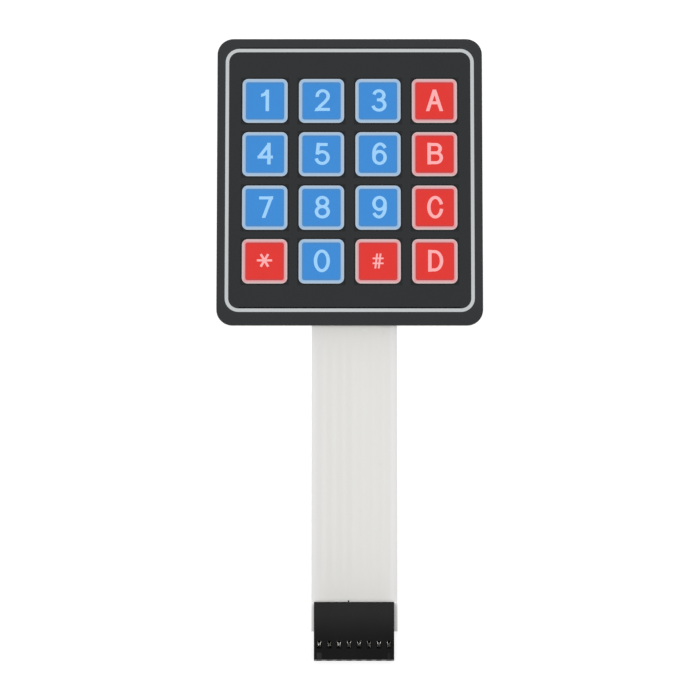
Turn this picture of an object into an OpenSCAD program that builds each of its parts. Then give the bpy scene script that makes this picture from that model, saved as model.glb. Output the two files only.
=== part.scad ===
// Membrane keypad: a stack of films with sixteen embossed keys, a flat film
// tail and an eight-way socket connector clinched to the tail's end.
// It lies on its back. +Z is the front face, +Y runs to the pad's top edge,
// and the origin is the middle of the pad's back face. Millimetres.

/* [Pad] */
// Width of the pad
pad_w = 69; // [66:0.5:80]
// Height of the pad
pad_h = 76.3; // [72:0.1:90]
// Corner radius of the pad
pad_corner_r = 4.2; // [2:0.1:8]

/* [Film stack] */
// Thickness of the release liner
liner_t = 0.10; // [0.05:0.01:0.2]
// Thickness of the mounting adhesive
rear_adhesive_t = 0.05; // [0.03:0.01:0.1]
// Thickness of each circuit film
film_t = 0.125; // [0.075:0.005:0.2]
// Thickness of the spacer film
spacer_t = 0.15; // [0.1:0.01:0.3]
// Thickness of the adhesive under the overlay
overlay_adhesive_t = 0.05; // [0.03:0.01:0.1]
// Thickness of the graphic overlay
overlay_t = 0.20; // [0.15:0.01:0.4]
// Depth of the printed colours in the overlay
ink_t = 0.05; // [0.03:0.01:0.1]
// Thickness of the printed silver tracks
track_t = 0.035; // [0.02:0.005:0.05]

/* [Keys] */
// Distance between key columns
key_pitch_x = 14.7; // [13.5:0.1:15.5]
// Distance between key rows
key_pitch_y = 14.25; // [13.5:0.05:16]
// Height of the key grid's middle above the pad's middle
key_grid_rise = 0.1; // [-1:0.1:2]
// Side of a key over its outline
key_size = 11.75; // [10:0.25:12.5]
// Corner radius of a key's outline
key_corner_r = 1.5; // [1.2:0.1:3]
// Width of the pale outline round a key
outline_w = 0.88; // [0.5:0.02:1.1]
// Height that a key is embossed
emboss_h = 0.20; // [0.1:0.05:0.4]
// Plain embossed margin outside a key's outline
emboss_margin = 0.35; // [0.2:0.05:0.45]

/* [Border line] */
// Inset of the border line at the sides
border_side_inset = 2.15; // [1.5:0.05:2.8]
// Inset of the border line at the top
border_top_inset = 2.65; // [1.5:0.05:4]
// Inset of the border line at the bottom
border_bottom_inset = 3.55; // [1.5:0.05:5]
// Width of the border line
border_w = 0.9; // [0.5:0.05:1.4]
// Outer corner radius of the border line
border_corner_r = 3.6; // [2:0.1:6]

/* [Circuit] */
// Diameter of a printed contact spot
contact_spot_d = 8; // [6:0.5:9]
// Gap between a contact spot and the spacer's hole
spot_clearance = 0.7; // [0.4:0.1:1]
// Width of the vent channels between the spacer's holes
vent_w = 1.2; // [0.8:0.1:2]
// Width of a track inside the pad
track_w = 0.8; // [0.5:0.05:0.9]
// Width of a track on the tail
tail_track_w = 1.4; // [1:0.05:1.6]
// Plain film kept between the tracks and the pad's edge
edge_seal = 1.2; // [0.8:0.1:2]

/* [Tail] */
// Length of the tail between the pad and the connector
tail_free_l = 72.4; // [50:0.2:150]
// Distance of the connector's middle to the right of the pad's middle
tail_offset_x = 1.1; // [-8:0.1:8]
// Film that stands out beside the connector, the mean of both sides
tail_overhang = 0.75; // [0.3:0.05:2]
// Distance of the film's middle to the right of the connector's middle
film_shift = 0.1; // [-0.2:0.05:0.2]
// Height of the tail's loose arch
tail_arch = 1.0; // [0:0.1:4]

/* [Connector] */
// Distance between neighbouring ways
way_pitch = 2.54; // [2.5:0.02:3]
// Length of the housing
housing_l = 14.85; // [13.5:0.05:16]
// Thickness of the housing
housing_h = 2.54; // [2.3:0.02:3.5]
// Housing past the outer ways' own pitch, both ends together
housing_end_extra = 0.18; // [0:0.02:1]
// Radius of the housing's long edges
housing_edge_r = 0.2; // [0.1:0.05:0.4]
// Depth of film held in the housing
grip_l = 7.4; // [6.5:0.1:8.2]
// Clearance above and below the film in the housing's slot
slot_clearance = 0.06; // [0.03:0.01:0.1]
// Clearance in front of the film's end
film_end_clearance = 0.2; // [0.1:0.05:0.3]
// Wall in front of the contacts at the mating end
front_wall = 1.4; // [1:0.1:1.6]
// Length of an inspection window
window_l = 2.0; // [1.2:0.1:2.2]
// Width of an inspection window
window_w = 1.15; // [0.8:0.05:1.4]
// Distance of the windows from the mating end
window_setback = 2.85; // [2:0.05:3]
// Side of the square pins that plug in
pin_size = 0.64; // [0.5:0.02:0.7]
// Clearance round a pin in its entry
entry_clearance = 0.12; // [0.05:0.01:0.2]
// Lead-in chamfer of a pin entry
entry_lead_in = 0.3; // [0.1:0.05:0.4]
// Width of the moulded mark over the first way
mark_w = 1.35; // [0.6:0.05:1.6]
// Width of the moulded mark over the last way
last_mark_w = 0.75; // [0.4:0.05:1.6]
// Length of the moulded end marks
mark_l = 1.7; // [1:0.1:2.2]
// Depth of the moulded end marks
mark_depth = 0.1; // [0.05:0.01:0.2]
// Distance of the moulded end marks from the mating end
mark_setback = 0.15; // [0.05:0.05:0.4]
// Width of the moulding gate's stub on the rear end
gate_w = 0.35; // [0.2:0.05:1]
// Height of the gate's stub
gate_h = 0.4; // [0.2:0.05:0.5]
// How far the gate's stub stands out
gate_l = 0.4; // [0.1:0.05:0.5]
// Distance of the gate's stub to the left of the housing's middle
gate_offset = 1.4; // [-6:0.1:6]

/* [Contacts] */
// Thickness of the contact metal
metal_t = 0.22; // [0.15:0.01:0.25]
// Width of a contact
contact_w = 1.4; // [1.3:0.02:1.6]
// Height of a contact's spring beams
beam_h = 1.0; // [0.9:0.02:1.1]
// Height of a spring beam at its tip
beam_tip_h = 0.3; // [0.2:0.05:0.8]
// How far each beam closes past the pin's face
beam_bite = 0.2; // [0.02:0.01:0.25]
// Length of the bend on each side of the pinch
beam_bend_l = 1.4; // [1:0.1:1.6]
// Distance of the contact's foot from the rear end
foot_setback = 1.0; // [0.4:0.1:1.6]
// Foot past the end of the film
foot_reach = 0.8; // [0.5:0.1:1]
// Distance of the first tines from the rear end
tine_setback = 2.0; // [1.8:0.1:2.2]
// Distance between the two pairs of tines
tine_pitch = 2.6; // [2:0.1:2.8]
// Length of a tine along the tail
tine_l = 1.2; // [0.8:0.1:1.4]
// Gap between the folded ends of a pair of tines
tine_gap = 0.3; // [0.1:0.05:0.5]
// Clearance of a tine in the film
tine_clearance = 0.04; // [0.02:0.01:0.06]
// Clearance of a contact in its channel
channel_clearance = 0.1; // [0.05:0.01:0.2]

/* [Hidden] */
$fn = 64;
// Overshoot of a cutter past the face that it opens
cut = 0.1;

// Key grid: one letter per key, b for blue and r for red
key_colours = ["bbbr", "bbbr", "bbbr", "rbrr"];
rows = len(key_colours);
columns = len(key_colours[0]);
ways = rows + columns;

// Levels of the film stack
rear_adhesive_z = liner_t;
lower_film_z = rear_adhesive_z + rear_adhesive_t;
spacer_z = lower_film_z + film_t;
upper_film_z = spacer_z + spacer_t;
overlay_adhesive_z = upper_film_z + film_t;
overlay_z = overlay_adhesive_z + overlay_adhesive_t;
face_z = overlay_z + overlay_t;
key_face_z = face_z + emboss_h;

// Keys: colour field, embossed plateau and the hollow formed under it
field_size = key_size - 2 * outline_w;
field_corner_r = key_corner_r - outline_w;
emboss_size = key_size + 2 * emboss_margin;
emboss_corner_r = key_corner_r + emboss_margin;
hollow_size = emboss_size - 2 * overlay_t;
hollow_corner_r = emboss_corner_r - overlay_t;

// Connector and tail
housing_w = ways * way_pitch + housing_end_extra;
housing_mid_z = housing_h / 2;
tail_w = housing_w + 2 * tail_overhang;
tail_t = 2 * film_t + spacer_t;
slot_half_h = tail_t / 2 + slot_clearance;
tail_root_y = -pad_h / 2;
housing_rear_y = tail_root_y - tail_free_l;
tail_rise = housing_mid_z - tail_t / 2 - lower_film_z;
tail_steps = 32;

// Track routes: side buses for the rows, cross levels below the last row of keys
bottom_row_y = key_grid_rise - key_pitch_y * (rows - 1) / 2;
bus_inner_x = -key_pitch_x * (columns - 1) / 2 - contact_spot_d / 2;
bus_step = (pad_w / 2 - edge_seal + bus_inner_x) / rows;
level_top_y = bottom_row_y - contact_spot_d / 2;
level_step = (level_top_y - tail_root_y - edge_seal) / rows;

// Contacts, measured from the housing's rear end and its middle height
film_under = -tail_t / 2;
film_over = tail_t / 2;
foot_end = grip_l + foot_reach;
pinch_d = housing_l - window_setback - window_l / 2;
beam_start = grip_l + film_end_clearance;
beam_end = pinch_d + beam_bend_l;
beam_root_gap = contact_w / 2 - metal_t;
beam_pinch_gap = pin_size / 2 - beam_bite;
beam_top = film_under - metal_t + beam_h;
beam_steps = 12;
channel_half_w = contact_w / 2 + channel_clearance;
channel_top = beam_top + channel_clearance;
entry_half = pin_size / 2 + entry_clearance;

function key_x(column) = (column - (columns - 1) / 2) * key_pitch_x;
function key_y(row) = key_grid_rise + ((rows - 1) / 2 - row) * key_pitch_y;
function way_x(way) = tail_offset_x + (way - (ways - 1) / 2) * way_pitch;

// Height of the loose tail above its root: a smooth rise to the connector and an arch
function tail_lift(t) = tail_rise * t * t * (3 - 2 * t) + tail_arch * pow(sin(180 * t), 2);

// Side view of a layer of the tail, from one height above its root to another
function tail_profile(low, high) = concat(
    [for (i = [0 : tail_steps]) tail_point(i / tail_steps, low)],
    [[housing_rear_y - grip_l, low + tail_rise], [housing_rear_y - grip_l, high + tail_rise]],
    [for (i = [tail_steps : -1 : 0]) tail_point(i / tail_steps, high)]
);
function tail_point(t, level) = [tail_root_y - tail_free_l * t, level + tail_lift(t)];

// Half the gap between a contact's beams at a distance from the rear end
function beam_gap(d) =
    beam_pinch_gap
    + (beam_root_gap - beam_pinch_gap) * (1 - cos(180 * min(abs(d - pinch_d) / beam_bend_l, 1))) / 2;
beam_stations = concat(
    [beam_start],
    [for (i = [0 : beam_steps]) pinch_d + beam_bend_l * (2 * i / beam_steps - 1)]
);

module rounded_rect(w, h, r) {
    square([w - 2 * r, h], center = true);
    square([w, h - 2 * r], center = true);
    for (x = [-1, 1], y = [-1, 1])
        translate([x * (w / 2 - r), y * (h / 2 - r)]) circle(r);
}

module layer(z, t) {
    translate([0, 0, z]) linear_extrude(t) children();
}

module pad_outline() {
    rounded_rect(pad_w, pad_h, pad_corner_r);
}

// Places its children on every key of one colour, or on all keys
module at_keys(colour = "any") {
    for (row = [0 : rows - 1], column = [0 : columns - 1])
        if (colour == "any" || colour == key_colours[row][column])
            translate([key_x(column), key_y(row)]) children();
}

module key_square(size, r) {
    rounded_rect(size, size, r);
}

module border_ring() {
    w = pad_w - 2 * border_side_inset;
    h = pad_h - border_top_inset - border_bottom_inset;
    translate([0, (border_bottom_inset - border_top_inset) / 2]) difference() {
        rounded_rect(w, h, border_corner_r);
        rounded_rect(w - 2 * border_w, h - 2 * border_w, border_corner_r - border_w);
    }
}

// Strip of the tail, between two heights above the tail's root
module tail_strip(x, w, low, high) {
    translate([x - w / 2, 0, 0]) rotate([90, 0, 90])
        linear_extrude(w) polygon(tail_profile(low, high));
}

// Block in a way of the connector: half width, distances from the rear end, heights from the middle
module way_block(way, half_w, d0, d1, z0, z1) {
    translate([way_x(way) - half_w, housing_rear_y - d1, housing_mid_z + z0])
        cube([2 * half_w, d1 - d0, z1 - z0]);
}

// Slots that the tines pierce through the tail
module tine_slots(way) {
    leg_mid = (contact_w - metal_t) / 2;
    for (pair = [0, 1], side = [-1, 1])
        translate([side * leg_mid, 0, 0])
            way_block(
                way, metal_t / 2 + tine_clearance,
                tine_setback + pair * tine_pitch - tine_clearance,
                tine_setback + pair * tine_pitch + tine_l + tine_clearance,
                film_under - cut, film_over + cut
            );
}

// A film of the pad with its part of the tail
module tailed_film(z, t) {
    layer(z, t) pad_outline();
    tail_strip(tail_offset_x + film_shift, tail_w, z, z + t);
}

module all_tine_slots() {
    for (way = [0 : ways - 1]) tine_slots(way);
}

// Straight piece of track between two points in line
module track_run(from, to, w) {
    translate([min(from.x, to.x) - w / 2, min(from.y, to.y) - w / 2])
        square([abs(to.x - from.x) + w, abs(to.y - from.y) + w]);
}

// Last piece of a track, from its cross level to the pad's edge
module track_exit(way, level_y) {
    translate([way_x(way) - tail_track_w / 2, tail_root_y])
        square([tail_track_w, level_y - tail_root_y + track_w / 2]);
}

// A row joins its contact spots and comes down the pad's left side
module row_plan(row) {
    bus_x = bus_inner_x - bus_step * (rows - row - 0.5);
    level_y = level_top_y - level_step * (rows - row - 0.5);
    for (column = [0 : columns - 1])
        translate([key_x(column), key_y(row)]) circle(d = contact_spot_d);
    track_run([bus_x, key_y(row)], [key_x(columns - 1), key_y(row)], track_w);
    track_run([bus_x, key_y(row)], [bus_x, level_y], track_w);
    track_run([bus_x, level_y], [way_x(row), level_y], track_w);
    track_exit(row, level_y);
}

// A column joins its contact spots and turns to its own way, the outer columns lowest
module column_plan(column) {
    way = rows + column;
    turns_left = way_x(way) < key_x(column);
    level_y = level_top_y - level_step * (turns_left ? column + 0.5 : columns - column - 0.5);
    for (row = [0 : rows - 1])
        translate([key_x(column), key_y(row)]) circle(d = contact_spot_d);
    track_run([key_x(column), key_y(0)], [key_x(column), level_y], track_w);
    track_run([key_x(column), level_y], [way_x(way), level_y], track_w);
    track_exit(way, level_y);
}

// Silver ink on the underside of the upper film
module row_ink(row, below = 0) {
    layer(upper_film_z - below, track_t + below) row_plan(row);
    tail_strip(way_x(row), tail_track_w, upper_film_z - below, upper_film_z + track_t);
}

// Silver ink on the top of the lower film
module column_ink(column, above = 0) {
    layer(spacer_z - track_t, track_t + above) column_plan(column);
    tail_strip(way_x(rows + column), tail_track_w, spacer_z - track_t, spacer_z + above);
}

module release_liner() {
    color("#ece6d6") layer(0, liner_t) pad_outline();
}

module rear_adhesive() {
    color("#d9d3bf") layer(rear_adhesive_z, rear_adhesive_t) pad_outline();
}

module lower_circuit_film() {
    color("#dddcd7") difference() {
        tailed_film(lower_film_z, film_t);
        for (column = [0 : columns - 1]) column_ink(column, cut);
        all_tine_slots();
    }
}

// The spacer keeps the films apart, with a hole at each key and vents between the holes
module spacer_film() {
    color("#cfd2d1") difference() {
        tailed_film(spacer_z, spacer_t);
        layer(spacer_z - cut, spacer_t + 2 * cut) {
            at_keys() circle(d = contact_spot_d + 2 * spot_clearance);
            for (column = [0 : columns - 1])
                track_run([key_x(column), key_y(0)], [key_x(column), key_y(rows - 1)], vent_w);
            track_run([key_x(0), key_y(0)], [key_x(columns - 1), key_y(0)], vent_w);
        }
        all_tine_slots();
    }
}

module upper_circuit_film() {
    color("#e3e2de") difference() {
        tailed_film(upper_film_z, film_t);
        for (row = [0 : rows - 1]) row_ink(row, cut);
        all_tine_slots();
    }
}

module overlay_adhesive() {
    color("#d3d0c4") layer(overlay_adhesive_z, overlay_adhesive_t) difference() {
        pad_outline();
        at_keys() key_square(hollow_size, hollow_corner_r);
    }
}

// Formed film: the keys stand up from its face and are hollow behind
module graphic_overlay() {
    color("#343537") difference() {
        union() {
            layer(overlay_z, overlay_t) pad_outline();
            layer(face_z, emboss_h) at_keys() key_square(emboss_size, emboss_corner_r);
        }
        layer(overlay_z - cut, emboss_h + cut) at_keys() key_square(hollow_size, hollow_corner_r);
        layer(key_face_z - ink_t, ink_t + cut) at_keys() key_square(key_size, key_corner_r);
        layer(face_z - ink_t, ink_t + cut) border_ring();
    }
}

module column_track(column) {
    color("#b4b6b8") difference() {
        column_ink(column);
        tine_slots(rows + column);
    }
}

module row_track(row) {
    color("#b4b6b8") difference() {
        row_ink(row);
        tine_slots(row);
    }
}

module border_line_print() {
    color("#c5cacd") layer(face_z - ink_t, ink_t) border_ring();
}

module key_outline_print() {
    color("#c9d3db") layer(key_face_z - ink_t, ink_t) at_keys() difference() {
        key_square(key_size, key_corner_r);
        key_square(field_size, field_corner_r);
    }
}

module blue_key_print() {
    color("#438fda") layer(key_face_z - ink_t, ink_t) at_keys("b") key_square(field_size, field_corner_r);
}

module red_key_print() {
    color("#e1403b") layer(key_face_z - ink_t, ink_t) at_keys("r") key_square(field_size, field_corner_r);
}

// Shallow moulded mark by the mating end, over one of the end ways
module end_mark(way, w) {
    top = housing_h - housing_mid_z;
    mark_end = housing_l - mark_setback;
    way_block(way, w / 2, mark_end - mark_l, mark_end, top - mark_depth, top + cut);
}

// Room in the housing for one contact, with its window and pin entry
module way_cut(way) {
    channel_end = housing_l - front_wall;
    window_end = housing_l - window_setback;
    top = housing_h - housing_mid_z;
    way_block(way, channel_half_w, -cut, channel_end, film_under - metal_t, channel_top);
    way_block(way, window_w / 2, window_end - window_l, window_end, 0, top + cut);
    way_block(way, entry_half, channel_end - cut, housing_l + cut, -entry_half, entry_half);
    translate([way_x(way), housing_rear_y - housing_l, housing_mid_z]) rotate([-90, 45, 0])
        cylinder(
            h = entry_lead_in, r1 = (entry_half + entry_lead_in) * sqrt(2), r2 = entry_half * sqrt(2), $fn = 4
        );
}

// What is left of the moulding gate, on the rear end above the open channels
module gate_stub() {
    roof_mid_z = (housing_mid_z + channel_top + housing_h) / 2;
    translate([tail_offset_x - gate_offset - gate_w / 2, housing_rear_y - cut, roof_mid_z - gate_h / 2])
        cube([gate_w, gate_l + cut, gate_h]);
}

// One moulding: two jaws over the film behind, a closed block with pin entries in front
module connector_housing() {
    slot_l = grip_l + film_end_clearance;
    slot_half_w = housing_w / 2 + cut;
    color("#232426") union() {
        difference() {
            translate([tail_offset_x, housing_rear_y, housing_mid_z]) rotate([90, 0, 0])
                linear_extrude(housing_l) rounded_rect(housing_w, housing_h, housing_edge_r);
            translate([tail_offset_x - slot_half_w, housing_rear_y - slot_l, housing_mid_z - slot_half_h])
                cube([2 * slot_half_w, slot_l + cut, 2 * slot_half_h]);
            for (way = [0 : ways - 1]) way_cut(way);
            end_mark(0, mark_w);
            end_mark(ways - 1, last_mark_w);
        }
        gate_stub();
    }
}

// One side of a pair of tines: a leg through the film, folded over on top
module tine(way, pair, side) {
    outer = contact_w / 2;
    translate([way_x(way), housing_rear_y - tine_setback - pair * tine_pitch, housing_mid_z])
        rotate([90, 0, 0]) linear_extrude(tine_l) polygon([
            [side * outer, film_under - metal_t],
            [side * outer, film_over + metal_t],
            [side * tine_gap / 2, film_over + metal_t],
            [side * tine_gap / 2, film_over],
            [side * (outer - metal_t), film_over],
            [side * (outer - metal_t), film_under - metal_t]
        ]);
}

// One spring beam, bowed in to the pinch that holds a pin and cut down towards its tip
module beam(way, side) {
    inner = [for (d = beam_stations) [side * beam_gap(d), -d]];
    outer = [for (d = beam_stations) [side * (beam_gap(d) + metal_t), -d]];
    last = len(beam_stations) - 1;
    translate([way_x(way), housing_rear_y, housing_mid_z + film_under - metal_t]) difference() {
        linear_extrude(beam_h) polygon(concat(inner, [for (i = [last : -1 : 0]) outer[i]]));
        translate([-contact_w, 0, 0]) rotate([90, 0, 90]) linear_extrude(2 * contact_w) polygon([
            [-pinch_d, beam_h],
            [-beam_end - cut, beam_tip_h],
            [-beam_end - cut, beam_h + cut],
            [-pinch_d, beam_h + cut]
        ]);
    }
}

// Stamped contact: a foot under the film, two pairs of clinched tines and two spring beams
module contact(way) {
    color("#cfcdc6") union() {
        way_block(way, contact_w / 2, foot_setback, foot_end, film_under - metal_t, film_under);
        for (side = [-1, 1]) {
            for (pair = [0, 1]) tine(way, pair, side);
            beam(way, side);
        }
    }
}

release_liner();
rear_adhesive();
lower_circuit_film();
spacer_film();
upper_circuit_film();
overlay_adhesive();
graphic_overlay();
column_track(0);  // column_track_1
column_track(1);  // column_track_2
column_track(2);  // column_track_3
column_track(3);  // column_track_4
row_track(0);  // row_track_1
row_track(1);  // row_track_2
row_track(2);  // row_track_3
row_track(3);  // row_track_4
border_line_print();
key_outline_print();
blue_key_print();
red_key_print();
connector_housing();
contact(0);  // contact_1
contact(1);  // contact_2
contact(2);  // contact_3
contact(3);  // contact_4
contact(4);  // contact_5
contact(5);  // contact_6
contact(6);  // contact_7
contact(7);  // contact_8
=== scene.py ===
import math

import bmesh
import bpy
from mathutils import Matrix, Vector
from mathutils.geometry import delaunay_2d_cdt, intersect_point_quad_2d


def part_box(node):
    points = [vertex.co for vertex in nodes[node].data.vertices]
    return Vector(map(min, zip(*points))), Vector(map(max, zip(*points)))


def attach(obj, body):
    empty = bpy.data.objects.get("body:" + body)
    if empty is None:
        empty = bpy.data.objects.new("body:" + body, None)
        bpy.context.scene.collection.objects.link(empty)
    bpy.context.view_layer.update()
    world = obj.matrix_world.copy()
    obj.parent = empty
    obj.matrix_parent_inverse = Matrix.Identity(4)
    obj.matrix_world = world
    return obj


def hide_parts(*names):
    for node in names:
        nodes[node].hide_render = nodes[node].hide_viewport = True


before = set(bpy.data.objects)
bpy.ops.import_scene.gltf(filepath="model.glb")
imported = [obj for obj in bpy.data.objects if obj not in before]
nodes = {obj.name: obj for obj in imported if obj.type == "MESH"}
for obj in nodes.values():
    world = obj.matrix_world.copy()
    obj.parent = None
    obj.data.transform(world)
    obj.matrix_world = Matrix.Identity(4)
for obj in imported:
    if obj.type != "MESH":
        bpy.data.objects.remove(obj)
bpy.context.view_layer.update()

mm = 0.001  # every size below is in millimetres
joinGap = 1e-4  # points closer than this are one
white = (1, 1, 1, 1)
print("frame loaded,", len(nodes), "nodes")


# the few sizes that the pieces share, read from the frame where it holds them
def nodeBox(name):
    low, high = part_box(name)
    return low / mm, high / mm


overlayBottom = nodeBox("graphic_overlay")[0].z
linerLow, linerHigh = nodeBox("release_liner")
upperLow = nodeBox("upper_circuit_film")[0]
lowerLow = nodeBox("lower_circuit_film")[0]
filmThick = nodeBox("overlay_adhesive")[0].z - upperLow.z
borderLow, borderHigh = nodeBox("border_line_print")
outlineLow, outlineHigh = nodeBox("key_outline_print")
housingLow, housingHigh = nodeBox("connector_housing")

padMiddle = (0, 0)
padSize = linerHigh - linerLow
padCorner = 4.2
borderMiddle = (borderLow + borderHigh) / 2
borderHalf = (borderHigh - borderLow) / 2
borderCorner = 3.6
borderWidth = 0.9
faceZ = borderHigh.z  # the overlay's flat face
keyFaceZ = outlineHigh.z  # the raised face of the keys
inkDepth = borderHigh.z - borderLow.z

keys = {"columns": 4, "rows": 4, "size": 11.75, "corner": 1.5, "outline": 0.88}
keys["field"] = keys["size"] - 2 * keys["outline"]
keys["pitchX"] = (outlineHigh.x - outlineLow.x - keys["size"]) / (keys["columns"] - 1)
keys["pitchY"] = (outlineHigh.y - outlineLow.y - keys["size"]) / (keys["rows"] - 1)
keys["middle"] = (outlineLow + outlineHigh) / 2
keyColours = ("bbbr", "bbbr", "bbbr", "rbrr")  # blue or red, row by row from the top

ways = keys["columns"] + keys["rows"]  # the connector has a way for each track
wayBoxes = [nodeBox("contact_%d" % (way + 1)) for way in range(ways)]
wayX = [(low.x + high.x) / 2 for low, high in wayBoxes]
wayPitch = wayX[1] - wayX[0]

tailMiddle = (housingLow.x + housingHigh.x) / 2
tailRoot = linerLow.y
tailGrip = 7.4  # film held inside the connector
tailOverhang = 0.75  # film beside the connector, the mean of both sides
filmShift = 0.1  # the film's middle lies this far right of the connector's
tailLeft = housingLow.x - tailOverhang + filmShift
tailRight = housingHigh.x + tailOverhang + filmShift
tailEnd = upperLow.y + tailGrip  # where the film goes into the connector
tailThick = upperLow.z + filmThick - lowerLow.z
tailRise = (housingLow.z + housingHigh.z) / 2 - tailThick / 2 - lowerLow.z  # from the pad to the slot


def keyCentre(column, row):
    x = keys["middle"].x + (column - (keys["columns"] - 1) / 2) * keys["pitchX"]
    y = keys["middle"].y + ((keys["rows"] - 1) / 2 - row) * keys["pitchY"]
    return x, y


def ease(share):  # from 0 to 1, slow at both ends
    return share * share * (3 - 2 * share)


def paint(code):  # a screen colour such as 438fda as shader values
    shades = [int(code[at:at + 2], 16) / 255 for at in (0, 2, 4)]
    light = [s / 12.92 if s <= 0.04045 else ((s + 0.055) / 1.055) ** 2.4 for s in shades]
    return (*light, 1.0)


# a shader socket that can stand in a sum
class Wire:
    def __init__(self, finish, socket):
        self.finish = finish
        self.socket = socket

    def maths(self, operation, first, second=0.0):
        return self.finish.node("ShaderNodeMath", {"operation": operation}, {0: first, 1: second})

    def __add__(self, other):
        return self.maths("ADD", self, other)

    def __radd__(self, other):
        return self.maths("ADD", other, self)

    def __sub__(self, other):
        return self.maths("SUBTRACT", self, other)

    def __rsub__(self, other):
        return self.maths("SUBTRACT", other, self)

    def __mul__(self, other):
        return self.maths("MULTIPLY", self, other)

    def __rmul__(self, other):
        return self.maths("MULTIPLY", other, self)

    def __truediv__(self, other):
        return self.maths("DIVIDE", self, other)

    def __rtruediv__(self, other):
        return self.maths("DIVIDE", other, self)

    def __lt__(self, other):
        return self.maths("LESS_THAN", self, other)

    def __gt__(self, other):
        return self.maths("GREATER_THAN", self, other)

    def __abs__(self):
        return self.maths("ABSOLUTE", self)

    def fraction(self):
        return self.maths("FRACT", self)

    def larger(self, other):
        return self.maths("MAXIMUM", self, other)

    def smaller(self, other):
        return self.maths("MINIMUM", self, other)

    # 1 at nought, dying away over a length
    def decay(self, length):
        return self.maths("EXPONENT", self * (-1 / length))

    # first where this is 0, second where it is 1
    def between(self, first, second):
        return first + (second - first) * self

    # 0 below low, 1 above high, eased between
    def fade(self, low, high):
        sockets = {"Value": self, "From Min": low, "From Max": high}
        return self.finish.node("ShaderNodeMapRange", {"interpolation_type": "SMOOTHSTEP"}, sockets)


# one procedural material, its textures laid out in millimetres of the frame
class Finish:
    def __init__(self, name, constants):
        self.material = bpy.data.materials.new(name)
        self.material.use_nodes = True
        self.tree = self.material.node_tree
        self.tree.nodes.clear()
        self.shader = self.tree.nodes.new("ShaderNodeBsdfPrincipled")
        self.output = self.tree.nodes.new("ShaderNodeOutputMaterial")
        self.tree.links.new(self.shader.outputs[0], self.output.inputs[0])
        for socket, value in constants.items():
            self.shader.inputs[socket].default_value = value
        place = self.node("ShaderNodeTexCoord", output="Object")
        self.place = self.node("ShaderNodeVectorMath", {"operation": "SCALE"}, {0: place, "Scale": 1 / mm})
        self.x = self.node("ShaderNodeSeparateXYZ", sockets={0: self.place}, output="X")
        self.y = self.node("ShaderNodeSeparateXYZ", sockets={0: self.place}, output="Y")

    def node(self, nodeType, settings=None, sockets=None, output=0):
        made = self.tree.nodes.new(nodeType)
        for name, value in (settings or {}).items():
            setattr(made, name, value)
        for name, value in (sockets or {}).items():
            if isinstance(value, Wire):
                self.tree.links.new(value.socket, made.inputs[name])
            else:
                made.inputs[name].default_value = value
        return Wire(self, made.outputs[output])

    # cloudy value from 0 to 1, its grain size in millimetres along each axis
    def noise(self, grain, detail=2.0, rough=0.5):
        stretch = {0: self.place, 1: [1 / size for size in grain]}
        spot = self.node("ShaderNodeVectorMath", {"operation": "MULTIPLY"}, stretch)
        sockets = {"Vector": spot, "Scale": 1.0, "Detail": detail, "Roughness": rough}
        return self.node("ShaderNodeTexNoise", sockets=sockets)

    # the Mix node has its colours on sockets 6 and 7 and on output 2
    def blend(self, share, first, second, kind="MIX"):
        sockets = {"Factor": share, 6: first, 7: second}
        return self.node("ShaderNodeMix", {"data_type": "RGBA", "blend_type": kind}, sockets, output=2)

    # the same colour, lighter or darker by a value
    def shade(self, colour, level):
        grey = self.node("ShaderNodeCombineXYZ", sockets={0: level, 1: level, 2: level})
        return self.blend(1.0, colour, grey, "MULTIPLY")

    def feed(self, socket, wire):
        self.tree.links.new(wire.socket, self.shader.inputs[socket])

    # height in millimetres
    def bump(self, height):
        sockets = {"Height": height, "Distance": mm, "Strength": 1.0}
        self.feed("Normal", self.node("ShaderNodeBump", sockets=sockets))

    # distance inside the edge of the key that a point lies on
    def keyInset(self, size):
        across = (self.x - keys["middle"].x) / keys["pitchX"] + keys["columns"] / 2
        along = (self.y - keys["middle"].y) / keys["pitchY"] + keys["rows"] / 2
        fromMiddleX = abs(across.fraction() - 0.5) * keys["pitchX"]
        fromMiddleY = abs(along.fraction() - 0.5) * keys["pitchY"]
        return size / 2 - fromMiddleX.larger(fromMiddleY)

    # 1 within half a pitch of a key's middle
    def onKeyGrid(self):
        across = abs(self.x - keys["middle"].x) < keys["pitchX"] * keys["columns"] / 2
        along = abs(self.y - keys["middle"].y) < keys["pitchY"] * keys["rows"] / 2
        return across * along

    # 1 on the red keys: the last column, and the bottom row but for its second key
    def onRedKeys(self):
        lastColumn = self.x > keys["middle"].x + keys["pitchX"]
        bottomRow = self.y < keys["middle"].y - keys["pitchY"]
        secondColumn = abs(self.x - keyCentre(1, 0)[0]) < keys["pitchX"] / 2
        return lastColumn.larger(bottomRow * (1 - secondColumn))

    # 1 outside the rounded border line, 0 inside
    def outsideBorder(self):
        pastX = (abs(self.x - borderMiddle.x) - (borderHalf.x - borderCorner)).larger(0.0)
        pastY = (abs(self.y - borderMiddle.y) - (borderHalf.y - borderCorner)).larger(0.0)
        return (pastX * pastX + pastY * pastY) > (borderCorner - borderWidth / 2) ** 2

    # soft round spot, 1 in its middle
    def spot(self, x, y, wide, long):
        across = (self.x - x) / wide
        along = (self.y - y) / long
        return (across * across + along * along).decay(1.0)


# fine tooth and faint clouds of the film's matte face; returns the level of its colour
def matteFace(face, look):
    grain = face.noise((look["grain"],) * 3, detail=3.0, rough=look["grainRough"])
    cloud = face.noise((look["cloud"],) * 3, detail=look["cloudDetail"])
    face.feed("Roughness", look["roughness"] + look["roughSpread"] * (grain - 0.5))
    face.bump(look["grainHeight"] * grain)
    return look["level"] + look["grainShade"] * grain + look["cloudShade"] * cloud


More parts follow.
